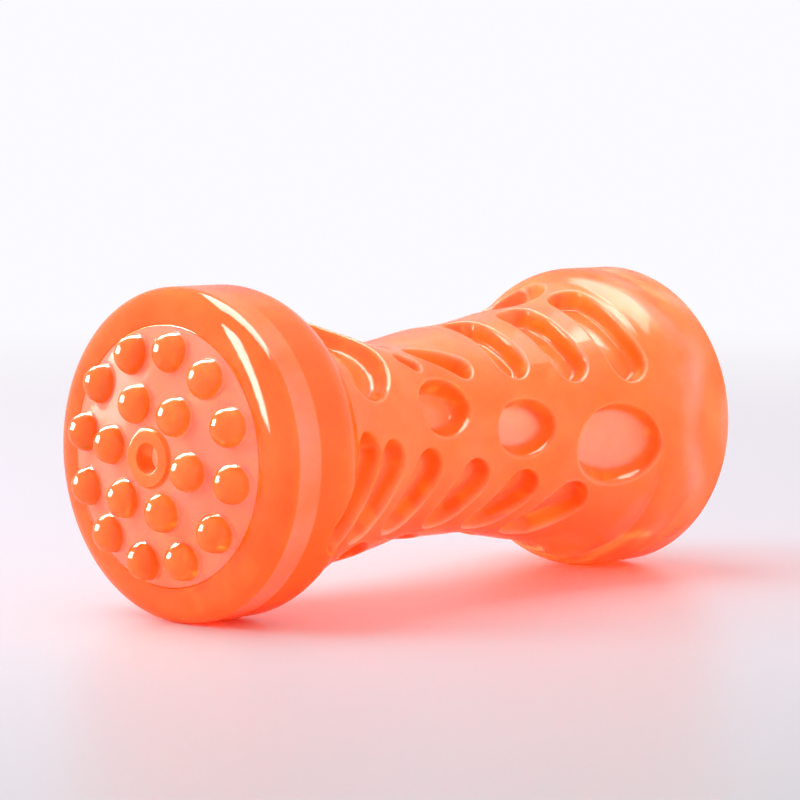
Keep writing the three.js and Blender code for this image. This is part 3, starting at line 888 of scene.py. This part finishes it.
# Studio light: long soft boxes overhead and to the side, in a bright white room.
# Three of them light the scene. The warm ones show only as highlights, each on the pieces that it is kept to.

WARM = (1.0, 0.94, 0.84)

world = bpy.data.worlds.new("white_room")
bpy.context.scene.world = world
world.use_nodes = True
nodes, links = world.node_tree.nodes, world.node_tree.links
nodes.clear()
world_out = nodes.new("ShaderNodeOutputWorld")
seen = nodes.new("ShaderNodeBackground")
seen.inputs["Color"].default_value = (0.97, 0.96, 1.0, 1)
room = nodes.new("ShaderNodeBackground")
room.inputs["Color"].default_value = (1.0, 0.98, 0.98, 1)
room.inputs["Strength"].default_value = 0.55
ray = nodes.new("ShaderNodeLightPath")
seen_or_mirrored = nodes.new("ShaderNodeMath")
seen_or_mirrored.operation = "MAXIMUM"
links.new(ray.outputs["Is Camera Ray"], seen_or_mirrored.inputs[0])
links.new(ray.outputs["Is Glossy Ray"], seen_or_mirrored.inputs[1])
seen_or_through = nodes.new("ShaderNodeMath")
seen_or_through.operation = "MAXIMUM"
links.new(seen_or_mirrored.outputs["Value"], seen_or_through.inputs[0])
links.new(ray.outputs["Is Transmission Ray"], seen_or_through.inputs[1])
choose = nodes.new("ShaderNodeMixShader")
links.new(seen_or_through.outputs["Value"], choose.inputs["Fac"])
links.new(room.outputs["Background"], choose.inputs[1])
links.new(seen.outputs["Background"], choose.inputs[2])
links.new(choose.outputs["Shader"], world_out.inputs["Surface"])


def soft_box(name, start, end, width, power):
    """A flat lamp that runs between two points and faces the stick. It isn't seen in mirrored light."""
    run = Vector(end) - Vector(start)
    middle = (Vector(start) + Vector(end)) / 2
    light = bpy.data.lights.new(name, "AREA")
    light.shape = "RECTANGLE"
    light.size, light.size_y = run.length, width
    light.energy = power
    lamp = bpy.data.objects.new(name, light)
    along = run.normalized()
    away = middle - Vector((0, 0, AXIS_HEIGHT))
    away = (away - away.dot(along) * along).normalized()
    turn = Matrix((along, away.cross(along), away)).transposed().to_4x4()
    lamp.matrix_world = Matrix.Translation(middle) @ turn
    lamp.visible_camera = False
    lamp.visible_glossy = False
    bpy.context.scene.collection.objects.link(lamp)
    return lamp


def highlight(name, start, end, width, power):
    """A warm lamp of the same kind, seen in mirrored light alone."""
    lamp = soft_box(name, start, end, width, power)
    lamp.data.color = WARM
    lamp.visible_diffuse = False
    lamp.visible_transmission = False
    lamp.visible_glossy = True
    return lamp


def light_only(lamp, *pieces):
    """Keeps a lamp to some of the pieces."""
    lit = bpy.data.collections.new(lamp.name)
    for piece in pieces:
        lit.objects.link(piece)
    lamp.light_linking.receiver_collection = lit


def shine_through(lamp):
    """Leaves nothing but the floor in a lamp's way."""
    in_the_way = bpy.data.collections.new(lamp.name + "_stop")
    in_the_way.objects.link(floor)
    lamp.light_linking.blocker_collection = in_the_way


soft_box("key_box", (-0.85, 0.45, 1.0), (0.25, 0.45, 1.0), width=0.9, power=8.5)
soft_box("side_box", (-0.95, 0.40, 0.46), (-0.57, 0.88, 0.46), width=0.5, power=4.5)
fill_box = soft_box("fill_box", (-0.1, -1.0, 0.12), (0.8, -1.0, 0.12), width=0.5, power=6.5)
light_only(fill_box, body_shell, front_cap, rear_cap)
nub_strip = highlight("nub_strip", (-0.124, 0.881, 0.647), (0.675, 0.438, 0.750), width=0.5, power=40)
light_only(nub_strip, front_cap, rear_cap)
shine_through(nub_strip)
dot_box = highlight("dot_box", (-0.51, 0.92, 0.04), (-0.51, 0.92, 0.40), width=0.48, power=26)
light_only(dot_box, front_cap, rear_cap)
shine_through(dot_box)
overhead = highlight("overhead_strip", (-0.15, 0.45, 1.0), (0.25, -0.45, 1.0), width=0.75, power=46)
light_only(overhead, body_shell)
far_box = highlight("far_box", (0.3, -0.08, 1.0), (0.8, -0.08, 1.0), width=0.85, power=5)
light_only(far_box, body_shell)
left_strip = highlight("left_strip", (-0.93, 0.32, 0.05), (-0.88, 0.30, 0.60), width=0.2, power=9)
light_only(left_strip, body_shell)

# Camera: a long lens on a low stand, a little above the stick.
# It looks at the squeaker end and along the stick's side, as in a catalogue picture.

VIEW_AZIMUTH = math.radians(-47.35)
VIEW_HEIGHT = math.radians(4.584)
VIEW_DISTANCE = 0.6274
ASIDE = 0.00178
ABOVE = 0.00628
LENS = 147.8
SENSOR = 36
NEAREST = 0.01

back = Vector((math.sin(VIEW_AZIMUTH) * math.cos(VIEW_HEIGHT),
               -math.cos(VIEW_AZIMUTH) * math.cos(VIEW_HEIGHT), math.sin(VIEW_HEIGHT)))
side = Vector((math.cos(VIEW_AZIMUTH), math.sin(VIEW_AZIMUTH), 0))
up = back.cross(side)
camera = bpy.data.objects.new("camera", bpy.data.cameras.new("camera"))
camera.data.lens = LENS
camera.data.sensor_width = SENSOR
camera.data.clip_start = NEAREST
stand = Vector((0, 0, AXIS_HEIGHT)) + VIEW_DISTANCE * back - ASIDE * side + ABOVE * up
aim = Matrix((side, up, back)).transposed().to_4x4()
camera.matrix_world = Matrix.Translation(stand) @ aim
bpy.context.scene.collection.objects.link(camera)
bpy.context.scene.camera = camera
bpy.context.scene.view_settings.view_transform = "Standard"
